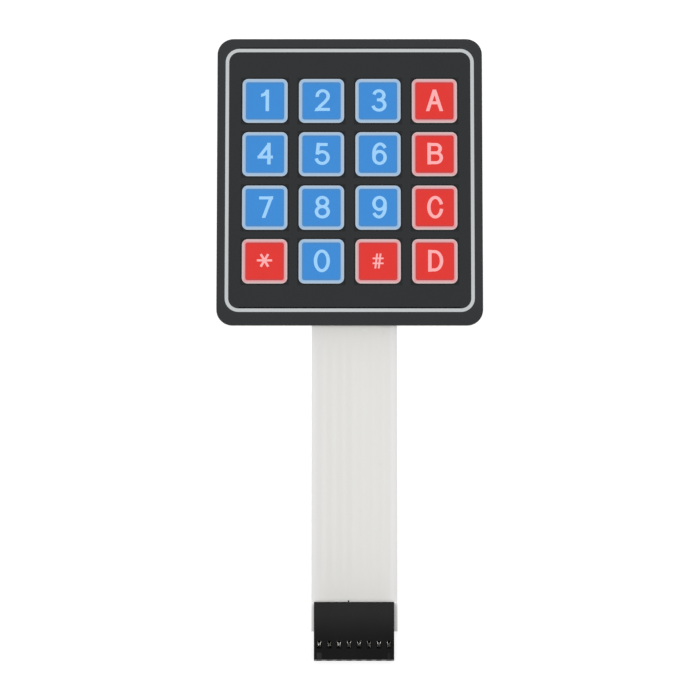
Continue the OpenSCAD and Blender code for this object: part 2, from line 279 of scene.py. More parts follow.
overlayLook = {
    "colour": "2b2d2f", "band": "323436",  # inside the border line, and outside it
    "bandDark": 0.13, "bandFade": (2.0, 9.0),  # the band loses light towards the bottom edge
    # painted shadow: dark hairlines along the border line's upper side: y, share darker
    "shadowHairlines": ((borderHigh.y, 0.6), (borderLow.y + borderWidth, 0.9)), "hairline": 0.42,
    "skirt": 0.4, "skirtShade": 0.35,  # painted shade on the formed slope round a key
    "grain": 0.11, "grainRough": 0.65, "grainShade": 0.06, "grainHeight": 0.006,
    "cloud": 9.0, "cloudDetail": 3.0, "cloudShade": 0.09, "level": 0.93,
    "roughness": 0.5, "roughSpread": 0.12, "specular": 0.12,
}


def overlayFinish():
    look = overlayLook
    film = Finish("matteOverlayFilm", {"Specular IOR Level": look["specular"]})
    band = film.outsideBorder()
    towardsBottom = 1 - (film.y - linerLow.y).fade(*look["bandFade"])
    # painted shade on the formed slope round each key
    skirt = (film.keyInset(keys["size"]) > -look["skirt"]) * film.onKeyGrid()
    level = matteFace(film, look) - look["bandDark"] * band * towardsBottom - look["skirtShade"] * skirt
    straight = abs(film.x - borderMiddle.x) < borderHalf.x - borderCorner
    # painted shadow along the upper side of the border line
    for y, share in look["shadowHairlines"]:
        level = level - share * straight * (film.y > y) * (film.y < y + look["hairline"])
    colour = film.blend(band, paint(look["colour"]), paint(look["band"]))
    film.feed("Base Color", film.shade(colour, level))
    return film.material


inkLook = {
    "border": "c1c4c6", "blue": "3d8ad4", "red": "df3732", "onBlue": "9dd0f8", "onRed": "fdb0b1",
    "blueRimShade": "5084b8", "redRimShade": "b84446", "rim": 0.6,  # painted shade: a key's field is greyer along its outline
    "grain": 0.14, "grainRough": 0.6, "grainShade": 0.05, "grainHeight": 0.005,
    "cloud": 5.0, "cloudDetail": 2.0, "cloudShade": 0.06, "level": 0.95,
    "roughness": 0.5, "roughSpread": 0.1, "specular": 0.12,
}


# printed colour seen through the matte face of the film
def inkFinish(name, colourName, rimName=None):
    look = inkLook
    ink = Finish(name, {"Specular IOR Level": look["specular"]})
    colour = paint(look[colourName])
    if rimName:
        # painted shade along the inside of the key's outline
        rim = 1 - ink.keyInset(keys["field"]).fade(0.0, look["rim"])
        colour = ink.blend(rim, colour, paint(look[rimName]))
    ink.feed("Base Color", ink.shade(colour, matteFace(ink, look)))
    return ink.material


outlineLook = {
    **inkLook, "cloud": 3.0,
    "blueOuter": "afc0d1", "blueInner": "8fb8e0", "redOuter": "d2b9b9", "redInner": "e49196",
    "bleed": (0.15, 0.9),  # the field's colour shows through towards the inner edge
}


def outlineFinish():
    look = outlineLook
    ink = Finish("paleOutlineInk", {"Specular IOR Level": look["specular"]})
    bleed = ink.keyInset(keys["size"]).fade(*look["bleed"])
    onBlue = ink.blend(bleed, paint(look["blueOuter"]), paint(look["blueInner"]))
    onRed = ink.blend(bleed, paint(look["redOuter"]), paint(look["redInner"]))
    colour = ink.blend(ink.onRedKeys(), onBlue, onRed)
    ink.feed("Base Color", ink.shade(colour, matteFace(ink, look)))
    return ink.material


filmLook = {
    "colour": "e1e0dc", "sideColour": "e1e0df", "sideWidth": 5.0,  # cooler towards its cut edges
    "roughness": (0.38, 0.46), "specular": 0.35,
    "thread": (0.7, 60.0, 5.0), "threadShade": 0.03, "threadHeight": 0.006,  # marks drawn along the film
    "cloud": (6.0, 14.0, 6.0), "cloudShade": 0.02,
    # the tracks show as darker streaks, which start clear of the pad and of the connector
    "trackHalf": 0.75, "trackEdge": 0.3, "trackHeight": 0.004, "streakLeft": 0.030, "streakRight": 0.010,
    "streakStart": (2.0, 9.0), "streakStop": (2.0, 11.0),
    # share of light lost by the pad and by the connector, and the length it dies away over
    "rootDark": ((0.18, 0.41), (0.205, 4.3)), "endDark": (0.155, 8.0), "endGlow": (0.35, 0.6),
    "sideEase": 0.6,  # share of the connector's painted shade that the cut edges keep out
    # painted light making up for the connector's shade: share lighter beside the connector, and what is
    # lost of it for each millimetre along
    "flankLeft": 0.22, "flankRight": -0.03, "flankLoss": 0.02,
    # painted highlights: paler lines near the cut edges, which catch the light: share lighter, place across
    # the tail, half width
    "edgeHighlights": ((0.05, tailLeft, 0.9), (0.04, tailRight - 1.25, 0.5)),
    # small marks: painted shade of two dents in the tail, and glue and dark marks by the pad: x, y, half
    # width, half length, share darker
    "marks": (
        (7.8, -74.8, 0.5, 0.35, 0.03), (2.65, -86.9, 0.4, 0.3, 0.025), (9.6, -38.55, 1.4, 0.25, 0.10),
        (8.8, -40.05, 0.3, 0.5, 0.04), (3.9, -39.35, 0.5, 0.3, -0.04),
    ),
}


# 1 on the tracks of the tail, where they show
def filmTracks(film, fromPad, toHousing):
    look = filmLook
    beside = ((film.x - tailMiddle) / wayPitch + 0.5).fraction()
    fromTrack = abs(abs(beside - 0.5) * wayPitch - wayPitch / 2)
    track = 1 - fromTrack.fade(look["trackHalf"] - look["trackEdge"], look["trackHalf"] + look["trackEdge"])
    return track * fromPad.fade(*look["streakStart"]) * toHousing.fade(*look["streakStop"])


# light that the film loses or gains by the pad, by the connector and beside it
def filmLight(film, fromPad, toHousing, side):
    look = filmLook
    share, length = look["endDark"]
    light = -share * toHousing.decay(length) * (1 - look["sideEase"] * side * (film.y > tailEnd))
    share, length = look["endGlow"]
    light = light + share * toHousing.decay(length)
    flank = (film.x < tailMiddle).between(look["flankRight"], look["flankLeft"])
    light = light + (flank - look["flankLoss"] * toHousing) * (film.y < tailEnd)
    for share, length in look["rootDark"]:
        light = light - share * fromPad.decay(length)
    return light


# milky film, with the tracks showing faintly as darker streaks
def filmFinish():
    look = filmLook
    film = Finish("milkyCircuitFilm", {"Specular IOR Level": look["specular"]})
    fromPad = (tailRoot - film.y).larger(0.0)
    toHousing = abs(film.y - tailEnd)
    side = 1 - (film.x - tailLeft).smaller(tailRight - film.x).fade(0.0, look["sideWidth"])
    track = filmTracks(film, fromPad, toHousing)
    thread = film.noise(look["thread"], detail=3.0, rough=0.6)
    cloud = film.noise(look["cloud"])
    level = 1 + look["threadShade"] * (thread - 0.5) + look["cloudShade"] * (cloud - 0.5)
    level = level - (film.x < tailMiddle).between(look["streakRight"], look["streakLeft"]) * track
    level = level + filmLight(film, fromPad, toHousing, side)
    # painted highlights along the cut edges
    for share, x, wide in look["edgeHighlights"]:
        across = (film.x - x) / wide
        level = level + share * (across * across).decay(1.0)
    for x, y, wide, long, share in look["marks"]:
        level = level - share * film.spot(x, y, wide, long)
    colour = film.blend(side, paint(look["colour"]), paint(look["sideColour"]))
    film.feed("Base Color", film.shade(colour, level))
    film.feed("Roughness", cloud.between(*look["roughness"]))
    film.bump(look["trackHeight"] * track + look["threadHeight"] * thread)
    return film.material


linerLook = {
    "colour": "ece7da", "fibreColour": "dcd5c4", "specular": 0.3, "roughness": (0.57, 0.67),
    "fibre": (0.08, 0.9, 0.3), "fibreFade": (0.4, 0.75), "fibreHeight": 0.008,
    "cloud": (2.5, 2.5, 2.5), "level": (0.92, 1.0),
}


def linerFinish():
    look = linerLook
    paper = Finish("linerPaper", {"Specular IOR Level": look["specular"]})
    fibre = paper.noise(look["fibre"], detail=4.0, rough=0.6)
    cloud = paper.noise(look["cloud"], detail=4.0, rough=0.6)
    colour = paper.blend(fibre.fade(*look["fibreFade"]), paint(look["colour"]), paint(look["fibreColour"]))
    paper.feed("Base Color", paper.shade(colour, cloud.between(*look["level"])))
    paper.feed("Roughness", cloud.between(*look["roughness"]))
    paper.bump(look["fibreHeight"] * fibre)
    return paper.material


adhesiveLook = {
    "dark": "cdc8b6", "pale": "dbd6c6", "specular": 0.5, "roughness": (0.25, 0.45),
    "cloud": (0.6, 0.6, 0.1), "cloudDetail": 3.0, "cloudRough": 0.5,
}
spacerLook = {
    "dark": "cdd0cf", "pale": "d8dad8", "specular": 0.45, "roughness": (0.3, 0.4),
    "cloud": (1.5, 5.0, 1.5), "cloudDetail": 2.0, "cloudRough": 0.5,
}
silverLook = {
    "dark": "9fa1a3", "pale": "c8c9cb", "specular": 0.5, "roughness": (0.45, 0.65), "metal": (0.5, 0.9),
    "cloud": (0.05, 0.05, 0.05), "cloudDetail": 2.0, "cloudRough": 0.7,
}


# the inner layers: two close tones, with the roughness following their clouds
def layerFinish(name, look):
    layer = Finish(name, {"Specular IOR Level": look["specular"]})
    cloud = layer.noise(look["cloud"], look["cloudDetail"], look["cloudRough"])
    layer.feed("Base Color", layer.blend(cloud, paint(look["dark"]), paint(look["pale"])))
    layer.feed("Roughness", cloud.between(*look["roughness"]))
    if "metal" in look:
        layer.feed("Metallic", cloud.between(*look["metal"]))
    return layer.material


housingLook = {
    "colour": "101010", "rear": "252526", "rearFade": (3.9, 13.6),  # painted reflection: greyer towards the film's end
    "roughness": 0.32, "specular": 0.13, "level": (0.9, 1.1),
    "grain": (0.05, 0.05, 0.05), "grainSpread": 0.08, "grainHeight": 0.003,
    "flow": (4.0, 7.0, 4.0), "flowSpread": 0.1,
    # painted shade, darker along its edges
    "edgeShade": 0.5, "edgeWidth": 0.35,
    # paler floors of the moulded marks by the mating end, a painted sheen: way, half width, share lighter
    "marks": ((0, 0.67, 3.0), (7, 0.37, 1.5)), "markStart": 0.15, "markStop": 1.85,
}


def housingFinish():
    look = housingLook
    plastic = Finish("blackMoulding", {"Specular IOR Level": look["specular"]})
    grain = plastic.noise(look["grain"], rough=0.6)
    flow = plastic.noise(look["flow"], detail=3.0)
    fromFront = plastic.y - housingLow.y
    fromSide = (housingHigh.x - housingLow.x) / 2 - abs(plastic.x - tailMiddle)
    inset = fromSide.smaller(fromFront).smaller(tailEnd - plastic.y)
    # painted shade along the edges
    level = flow.between(*look["level"]) - look["edgeShade"] * (1 - inset.fade(0.0, look["edgeWidth"]))
    onMark = (fromFront > look["markStart"]) * (fromFront < look["markStop"])
    # painted sheen on the floors of the moulded marks
    for way, half, share in look["marks"]:
        level = level + share * onMark * (abs(plastic.x - wayX[way]) < half)
    # painted reflection, lighter towards the rear
    towardsRear = fromFront.fade(*look["rearFade"])
    colour = plastic.blend(towardsRear, paint(look["colour"]), paint(look["rear"]))
    plastic.feed("Base Color", plastic.shade(colour, level))
    spread = look["flowSpread"] * (flow - 0.5) + look["grainSpread"] * (grain - 0.5)
    plastic.feed("Roughness", look["roughness"] + spread)
    plastic.bump(look["grainHeight"] * grain)
    return plastic.material


tinLook = {
    # painted glints: the tin goes from dull to bright in random patches
    "dull": "75736e", "glintColour": "f8f6f1", "patch": (1.1, 1.1, 1.1), "patchFade": (0.44, 0.6),
    "brush": (0.04, 0.8, 0.04), "brushHeight": 0.002, "roughness": (0.16, 0.3),
    "pinch": 4.15, "bend": 0.35, "tipShade": 0.42,  # painted shade: the tips in front of the pinch lie deeper and are darker
}


def tinFinish():
    look = tinLook
    tin = Finish("tinPlate", {"Metallic": 1.0})
    brush = tin.noise(look["brush"], detail=3.0, rough=0.6)
    # painted glints in random patches
    glintPatches = tin.noise(look["patch"]).fade(*look["patchFade"])
    colour = tin.blend(glintPatches, paint(look["dull"]), paint(look["glintColour"]))
    # painted shade on the tips, which lie deeper in the window
    behindPinch = (tin.y - housingLow.y).fade(look["pinch"] - look["bend"], look["pinch"])
    tin.feed("Base Color", tin.shade(colour, behindPinch.between(look["tipShade"], 1.0)))
    tin.feed("Roughness", brush.between(*look["roughness"]))
    tin.bump(look["brushHeight"] * brush)
    return tin.material


finishes = {
    "release_liner": linerFinish(),
    "adhesive": layerFinish("clearAdhesive", adhesiveLook),
    "spacer_film": layerFinish("spacerFilm", spacerLook),
    "circuit_film": filmFinish(),
    "graphic_overlay": overlayFinish(),
    "track": layerFinish("silverTrackInk", silverLook),
    "border_line_print": inkFinish("paleBorderInk", "border"),
    "key_outline_print": outlineFinish(),
    "blue_key_print": inkFinish("blueKeyInk", "blue", "blueRimShade"),
    "red_key_print": inkFinish("redKeyInk", "red", "redRimShade"),
    "blue_legends": inkFinish("legendInkOnBlue", "onBlue"),
    "red_legends": inkFinish("legendInkOnRed", "onRed"),
    "connector_housing": housingFinish(),
    "contact": tinFinish(),
}
print("finishes made,", len(finishes))


# points and faces of one piece, gathered in millimetres
class Shape:
    crease = math.radians(40)  # edges sharper than this stay crisp
    insideLoops, insideHull = 1, 0  # which triangles delaunay_2d_cdt keeps
    flatGap = 1e-6  # how near it takes two points as one

    def __init__(self):
        self.points = []
        self.faces = []
        self.soft = []  # whether each face is shaded smooth

    def loop(self, points):
        first = len(self.points)
        self.points += [tuple(point) for point in points]
        return list(range(first, len(self.points)))

    def face(self, corners, soft=False):
        self.faces.append(tuple(corners))
        self.soft.append(soft)

    # wall between two closed loops of as many points
    def wall(self, lower, upper, soft=True):
        for at in range(len(lower)):
            after = (at + 1) % len(lower)
            self.face((lower[at], lower[after], upper[after], upper[at]), soft)

    # flat face inside the first loop and outside the others
    def flat(self, *loops):
        order = [index for loop in loops for index in loop]
        spots = [Vector(self.points[index][:2]) for index in order]
        outlines, first = [], 0
        for loop in loops:
            outlines.append(list(range(first, first + len(loop))))
            first += len(loop)
        found = delaunay_2d_cdt(spots, [], outlines, self.insideLoops, self.flatGap)
        sources = found[3]
        for corners, inside in zip(found[2], found[5]):
            if inside == [0]:
                self.face([order[sources[corner][0]] for corner in corners])

    def piece(self, name, material, slot, *standsFor):
        mesh = bpy.data.meshes.new(name)
        mesh.from_pydata([Vector(point) * mm for point in self.points], [], self.faces)
        mesh.polygons.foreach_set("use_smooth", self.soft)
        work = bmesh.new()
        work.from_mesh(mesh)
        bmesh.ops.remove_doubles(work, verts=work.verts, dist=joinGap * mm)
        bmesh.ops.recalc_face_normals(work, faces=work.faces)
        for edge in work.edges:
            edge.smooth = edge.calc_face_angle(math.pi) < self.crease
        work.to_mesh(mesh)
        work.free()
        mesh.materials.append(material)
        made = bpy.data.objects.new(name, mesh)
        bpy.context.scene.collection.objects.link(made)
        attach(made, "root")
        if standsFor:
            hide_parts(*standsFor)
        return made


# corner points of a rounded rectangle, anticlockwise
def roundedLoop(middle, width, height, radius, z, steps=10):
    points = []
    for quarter, (sideX, sideY) in enumerate(((1, 1), (-1, 1), (-1, -1), (1, -1))):
        cornerX = middle[0] + sideX * (width / 2 - radius)
        cornerY = middle[1] + sideY * (height / 2 - radius)
        for step in range(steps + 1):
            turn = math.radians(90 * (quarter + step / steps))
            points.append((cornerX + radius * math.cos(turn), cornerY + radius * math.sin(turn), z))
    return points


# the outline of a key, larger all round by a distance
def keyLoop(middle, out, z):
    size = keys["size"] + 2 * out
    return roundedLoop(middle, size, size, keys["corner"] + out, z)


overlay = {
    "edgeRound": 0.05, "edgeSteps": 4,  # rounding of the die-cut edge
    "slopeOut": 0.16, "slopeIn": 0.29,  # where the formed slope starts and ends, from the key's margin
    "margin": 0.35, "filmThick": 0.2, "slopeSteps": 7,
}


# the die-cut edge, rounded over: returns its loops on the back and on the face
def overlayEdge(shape):
    rim, steps = overlay["edgeRound"], overlay["edgeSteps"]
    under = shape.loop(roundedLoop(padMiddle, padSize.x, padSize.y, padCorner, overlayBottom))
    lastLoop = under
    for step in range(steps + 1):
        turn = math.radians(90 * step / steps)
        inset = rim * (1 - math.cos(turn))
        z = faceZ - rim * (1 - math.sin(turn))
        wide, high = padSize.x - 2 * inset, padSize.y - 2 * inset
        nextLoop = shape.loop(roundedLoop(padMiddle, wide, high, padCorner - inset, z))
        shape.wall(lastLoop, nextLoop, soft=step > 0)
        lastLoop = nextLoop
    return under, lastLoop


# the bed of the border line: returns its inner loop on the face
def borderBed(shape, faceLoop):
    bed = []
    for inset in (0, borderWidth):
        wide, high = 2 * (borderHalf.x - inset), 2 * (borderHalf.y - inset)
        for z in (faceZ, faceZ - inkDepth):
            bed.append(shape.loop(roundedLoop(borderMiddle, wide, high, borderCorner - inset, z)))
    outerTop, outerBed, innerTop, innerBed = bed
    across = (faceLoop, outerTop, outerBed, innerBed, innerTop)
    for near, far in zip(across, across[1:]):
        shape.wall(near, far, soft=False)
    return innerTop


# a raised key with its soft slope, the bed of its colours and its hollow back:
# returns the slope's first loop and the hollow's mouth
def raisedKey(shape, middle):
    look = overlay
    rise = keyFaceZ - faceZ
    slope = []
    for step in range(look["slopeSteps"] + 1):
        share = step / look["slopeSteps"]
        out = look["margin"] + look["slopeOut"] - share * (look["slopeOut"] + look["slopeIn"])
        slope.append(shape.loop(keyLoop(middle, out, faceZ + rise * ease(share))))
    for lower, upper in zip(slope, slope[1:]):
        shape.wall(lower, upper)
    rimLoop = shape.loop(keyLoop(middle, 0, keyFaceZ))
    bedLoop = shape.loop(keyLoop(middle, 0, keyFaceZ - inkDepth))
    shape.wall(slope[-1], rimLoop, soft=False)
    shape.wall(rimLoop, bedLoop, soft=False)
    shape.flat(bedLoop)
    out = look["margin"] - look["filmThick"]
    mouth = shape.loop(keyLoop(middle, out, overlayBottom))
    roof = shape.loop(keyLoop(middle, out, overlayBottom + rise))
    shape.wall(mouth, roof, soft=False)
    shape.flat(roof)
    return slope[0], mouth


# the formed film: raised keys with soft slopes, hollow behind, with beds for the printed colours
def buildOverlay():
    shape = Shape()
    under, faceLoop = overlayEdge(shape)
    inner = borderBed(shape, faceLoop)
    faceHoles, hollows = [], []
    for row in range(keys["rows"]):
        for column in range(keys["columns"]):
            faceHole, mouth = raisedKey(shape, keyCentre(column, row))
            faceHoles.append(faceHole)
            hollows.append(mouth)
    shape.flat(inner, *faceHoles)
    shape.flat(under, *hollows)
    return shape.piece("overlayFilm", finishes["graphic_overlay"], "overlay_film", "graphic_overlay")


buildOverlay()
print("overlay built")


tail = {
    "arch": 1.0,  # the loose film stands this much off its straight run
    "steps": 96, "gripSteps": 4,
    # tracks standing up in the film, with the steps down a ridge's side: share out, share of the height
    "ridgeLeft": 0.02, "ridgeRight": 0.008, "ridgeHalf": 0.7, "ridgeEdge": 0.15,
    "ridgeSide": ((0, 1), (0.5, 0.5), (1, 0)),
    "ridgeRise": 8, "ridgeFall": 7,  # it rises over an eighth of the tail and falls over a seventh
}


# places across the tail, each with the height of the track's ridge there
def tailStations(ridges):
    stations = [(tailLeft, 0.0)]
    for way, middle in enumerate(wayX):
        ridge = ridges[0] if way < ways / 2 else ridges[1]
        for side, steps in ((-1, reversed(tail["ridgeSide"])), (1, tail["ridgeSide"])):
            for out, share in steps:
                x = middle + side * (tail["ridgeHalf"] + out * tail["ridgeEdge"])
                stations.append((x, ridge * share))
    stations.append((tailRight, 0.0))
    return stations


# rows along the tail, from its root to the film's end: y, lift and share of the free length
def tailRows():
    rows = []
    for step in range(tail["steps"] + 1):
        share = step / tail["steps"]
        lift = tailRise * ease(share) + tail["arch"] * math.sin(math.pi * share) ** 2
        rows.append((tailRoot + (tailEnd - tailRoot) * share, lift, share))
    for step in range(1, tail["gripSteps"] + 1):
        rows.append((tailEnd - tailGrip * step / tail["gripSteps"], tailRise, 1.0))
    return rows


# one face of the tail; its ridges stand up, hang down or are left out: 1, -1 or 0
def tailFace(shape, stations, level, stand):
    grid = []
    for y, lift, share in tailRows():
        grown = stand * min(share * tail["ridgeRise"], (1 - share) * tail["ridgeFall"], 1.0)
        grid.append(shape.loop([(x, y, level + lift + ridge * grown) for x, ridge in stations]))
    for near, far in zip(grid, grid[1:]):
        for at in range(len(stations) - 1):
            shape.face((near[at], near[at + 1], far[at + 1], far[at]), soft=True)
    return grid


# the cut edges of the tail and its end
def tailEdges(shape, over, under):
    for at in range(len(over) - 1):
        for edge in (0, -1):
            shape.face((over[at][edge], over[at + 1][edge], under[at + 1][edge], under[at][edge]))
    overEnd, underEnd = over[-1], under[-1]
    for at in range(len(overEnd) - 1):
        shape.face((overEnd[at], overEnd[at + 1], underEnd[at + 1], underEnd[at]))


# the part in the pad, which joins the tail along its root
def padSheet(shape, overRoot, underRoot, bottom, top):
    rim = roundedLoop(padMiddle, padSize.x, padSize.y, padCorner, bottom)
    rootAt = next(at for at, point in enumerate(rim) if point[1] < 0 and point[0] > 0)
    outline = rim[rootAt:] + rim[:rootAt]
    overRim = shape.loop([(x, y, top) for x, y, z in outline])
    underRim = shape.loop(outline)
    for at in range(len(outline) - 1):
        shape.face((underRim[at], underRim[at + 1], overRim[at + 1], overRim[at]), soft=True)
    shape.flat(overRim + overRoot)
    shape.flat(underRim + underRoot)
    for corner, edge in ((-1, 0), (0, -1)):
        shape.face((underRim[corner], overRim[corner], overRoot[edge], underRoot[edge]))


# a circuit film of the pad, one piece with its part of the tail
def buildTailedFilm(name, node, bottom, ridges, underStand, overStand):
    shape = Shape()
    top = bottom + filmThick
    stations = tailStations(ridges)
    under = tailFace(shape, stations, bottom, underStand)
    over = tailFace(shape, stations, top, overStand)
    tailEdges(shape, over, under)
    padSheet(shape, over[0], under[0], bottom, top)
    return shape.piece(name, finishes["circuit_film"], "circuit_film", node)


upperRidges = (tail["ridgeLeft"], tail["ridgeRight"])
lowerRidges = (tail["ridgeRight"], tail["ridgeLeft"])
buildTailedFilm("upperCircuitFilm", "upper_circuit_film", upperLow.z, upperRidges, 0, 1)
buildTailedFilm("lowerCircuitFilm", "lower_circuit_film", lowerLow.z, lowerRidges, -1, 0)
print("films built")


# points along part of an oval, angles in degrees
def bow(middleX, middleY, radiusX, radiusY, start, stop, steps=22):
    turns = [math.radians(start + (stop - start) * step / steps) for step in range(steps + 1)]
    return [(middleX + radiusX * math.cos(turn), middleY + radiusY * math.sin(turn)) for turn in turns]


# middle lines of the strokes, as shares of the box between the outer strokes' middles
sixStrokes = [
    bow(0.55, 0.52, 0.55, 0.48, 35, 180) + [(0.0, 0.32)],
    bow(0.5, 0.31, 0.5, 0.31, 0, 360, 32),
]
starArms = ((0.5, 0), (0.55, 58), (0.55, 122))  # reach, and angle in degrees
strokes = {
    "1": [[(1, 0), (1, 1)], [(0, 0.80), (0.35, 0.83), (0.7, 0.91), (0.95, 1.02)]],
    "2": [bow(0.5, 0.71, 0.5, 0.29, 188, -30) + [(0.7, 0.40), (0.25, 0.16), (0.03, 0.0)], [(0, 0), (1, 0)]],
    "3": [
        bow(0.48, 0.765, 0.44, 0.235, 170, -90),
        bow(0.48, 0.265, 0.52, 0.265, 90, -172),
        [(0.3, 0.53), (0.5, 0.53)],
    ],
    "4": [[(0.81, 0), (0.81, 1)], [(0.78, 0.97), (0.02, 0.33)], [(0, 0.31), (1, 0.31)]],
    "5": [[(0.12, 1), (0.96, 1)], [(0.14, 1.0), (0.05, 0.47)], bow(0.48, 0.31, 0.52, 0.31, 142, -172)],
    "6": sixStrokes,
    "7": [[(0, 1), (1, 1)], [(0.97, 1.0), (0.32, 0)]],
    "8": [bow(0.5, 0.765, 0.43, 0.235, 0, 360, 32), bow(0.5, 0.265, 0.5, 0.265, 0, 360, 32)],
    "9": [[(1 - x, 1 - y) for x, y in stroke] for stroke in sixStrokes],
    "0": [bow(0.5, 0.5, 0.5, 0.5, 0, 360, 40)],
    "A": [[(0, 0), (0.46, 1)], [(1, 0), (0.54, 1)], [(0.16, 0.36), (0.84, 0.36)]],
    "B": [
        [(0, 0), (0, 1)],
        [(0, 1)] + bow(0.55, 0.77, 0.36, 0.23, 90, -90) + [(0.03, 0.54)],
        [(0.03, 0.54)] + bow(0.58, 0.27, 0.42, 0.27, 90, -90) + [(0, 0)],
    ],
    "C": [bow(0.5, 0.5, 0.5, 0.5, 17, 350, 36)],
    "D": [[(0, 0), (0, 1)], [(0, 1)] + bow(0.4, 0.5, 0.6, 0.5, 90, -90) + [(0, 0)]],
    "*": [bow(0.5, 0.5, reach, reach, turn, turn + 180, 1) for reach, turn in starArms],
    "#": [[(0.2, 0), (0.38, 1)], [(0.58, 0), (0.76, 1)], [(0, 0.32), (1, 0.32)], [(0, 0.7), (1, 0.7)]],
}

legends = {
    "rows": ("123A", "456B", "789C", "*0#D"),
    "capHeight": 6.1, "base": -2.93, "stroke": 0.9, "barShare": 0.88, "thick": 0.012,
    # signs that end in straight lines stop short of the round ones
    "flatTops": "1457ABD", "flatFeet": "1247ABD", "topInset": 0.14, "footInset": 0.2,
    "mitre": 0.5,  # keeps a sharp bend from reaching out too far
    "steep": 0.3,  # an end must run at its edge at least this squarely to be cut there
    "joinGap": 1e-5,
    # left edge and width of each sign, from the key's middle
    "boxes": {
        "1": (-1.05, 2.08), "2": (-1.57, 3.76), "3": (-1.6, 3.84), "4": (-1.92, 4.0), "5": (-1.69, 3.86),
        "6": (-1.5, 3.8), "7": (-1.47, 3.62), "8": (-1.73, 3.96), "9": (-1.52, 3.78), "0": (-1.97, 4.2),
        "A": (-2.07, 4.2), "B": (-1.85, 4.05), "C": (-1.96, 4.21), "D": (-1.75, 3.92),
    },
    "small": {  # left, base, width, height and stroke of the two smaller signs
        "*": (-2.0, -1.85, 3.95, 4.2, 0.64), "#": (-1.41, -1.88, 2.82, 3.94, 0.48),
    },
}


# left, base, width, height and stroke of a sign
def signBox(sign):
    look = legends
    if sign in look["small"]:
        return look["small"][sign]
    left, width = look["boxes"][sign]
    foot = look["footInset"] * (sign in look["flatFeet"])
    top = look["topInset"] * (sign in look["flatTops"])
    return left, look["base"] + foot, width, look["capHeight"] - foot - top, look["stroke"]


# the two sides of a stroke at one of its points
def strokeSides(before, point, after, half):
    inward = (point - before).normalized()
    onward = (after - point).normalized()
    across = Vector((-inward.y - onward.y, inward.x + onward.x)).normalized()
    slim = 1 - (1 - legends["barShare"]) * abs(across.y)  # level bars are thinner than stems
    reach = slim * half / max(across.dot(Vector((-onward.y, onward.x))), legends["mitre"])
    return [point + across * reach, point - across * reach]


# an end on the box's edge line runs out to the edge and is cut square to it
def runOut(pair, share, outward, box):
    corner, size = box[:2], box[2:]
    for axis in (1, 0):
        if share[axis] in (0, 1) and abs(outward[axis]) > legends["steep"]:
            edge = corner[axis] + share[axis] * size[axis]
            return [spot + outward * ((edge - spot[axis]) / outward[axis]) for spot in pair]
    return pair


# quads along one stroke
def strokeQuads(stroke, box, thick):
    left, base, width, height = box
    half = thick / 2
    wide, high = width - thick, height - thick
    points = [Vector((left + half + x * wide, base + half + y * high)) for x, y in stroke]
    closed = (points[0] - points[-1]).length < joinGap
    first = points[-2] if closed else 2 * points[0] - points[1]
    last = points[1] if closed else 2 * points[-1] - points[-2]
    chain = [first] + points + [last]
    sides = [strokeSides(*three, half) for three in zip(chain, chain[1:], chain[2:])]
    if not closed:
        sides[0] = runOut(sides[0], stroke[0], (points[0] - points[1]).normalized(), box)
        sides[-1] = runOut(sides[-1], stroke[-1], (points[-1] - points[-2]).normalized(), box)
    return [(near[1], far[1], far[0], near[0]) for near, far in zip(sides, sides[1:])]


# the outline of a sign as flat points and triangles
def signTriangles(sign):
    *box, thick = signBox(sign)
    corners, quads = [], []
    for stroke in strokes[sign]:
        for quad in strokeQuads(stroke, box, thick):
            quads.append(list(range(len(corners), len(corners) + len(quad))))
            corners += quad
    joined = delaunay_2d_cdt(corners, [], quads, Shape.insideHull, legends["joinGap"])
    spots, triangles = joined[0], []
    for triangle in joined[2]:
        middle = sum((spots[corner] for corner in triangle), Vector((0, 0))) / len(triangle)
        if any(intersect_point_quad_2d(middle, *(corners[at] for at in quad)) for quad in quads):
            triangles.append(triangle)
    return spots, triangles


# the thin print of a sign on its key
def printSign(shape, sign, middle):
    spots, triangles = signTriangles(sign)
    places = [(middle[0] + spot.x, middle[1] + spot.y) for spot in spots]
    over = shape.loop([(x, y, keyFaceZ + legends["thick"]) for x, y in places])
    under = shape.loop([(x, y, keyFaceZ) for x, y in places])
    for triangle in triangles:
        shape.face([over[corner] for corner in triangle])
        shape.face([under[corner] for corner in reversed(triangle)])
    edges = [edge for triangle in triangles for edge in zip(triangle, triangle[1:] + triangle[:1])]
    known = set(edges)
    for first, second in edges:
        if (second, first) not in known:  # no triangle on the other side
            shape.face((under[first], under[second], over[second], over[first]))


# all the signs on the keys of a colour
def buildLegends(name, colour, material):
    shape = Shape()
    for row, signs in enumerate(legends["rows"]):
        for column, sign in enumerate(signs):
            if keyColours[row][column] == colour:
                printSign(shape, sign, keyCentre(column, row))
    return shape.piece(name, material, "pale_ink")


buildLegends("blueKeyLegends", "b", finishes["blue_legends"])
buildLegends("redKeyLegends", "r", finishes["red_legends"])
print("legends printed")


solids = {
    "housingEdge": 0.07, "contactEdge": 0.03, "segments": 2,  # broken edges where light would catch them
    # degrees: faces that meet at less than the first are one, edges sharper than the second are broken
    "flatAngle": 0.5, "sharpAngle": 35,
    "faceWeight": 100,
}


# the finish of a carried-over solid, and its broken edges
def dress(name, material, edge=None):
    made = nodes[name]
    made.material_slots[0].material = material
    if edge:
        weld = made.modifiers.new("joinFaces", "WELD")
        weld.merge_threshold = joinGap * mm
        tidy = made.modifiers.new("wholeFaces", "DECIMATE")
        tidy.decimate_type = "DISSOLVE"
        tidy.angle_limit = math.radians(solids["flatAngle"])
        soften = made.modifiers.new("brokenEdges", "BEVEL")
        soften.width = edge * mm
        soften.segments = solids["segments"]
        soften.limit_method = "ANGLE"
        soften.angle_limit = math.radians(solids["sharpAngle"])
        level = made.modifiers.new("evenShading", "WEIGHTED_NORMAL")
        level.weight = solids["faceWeight"]


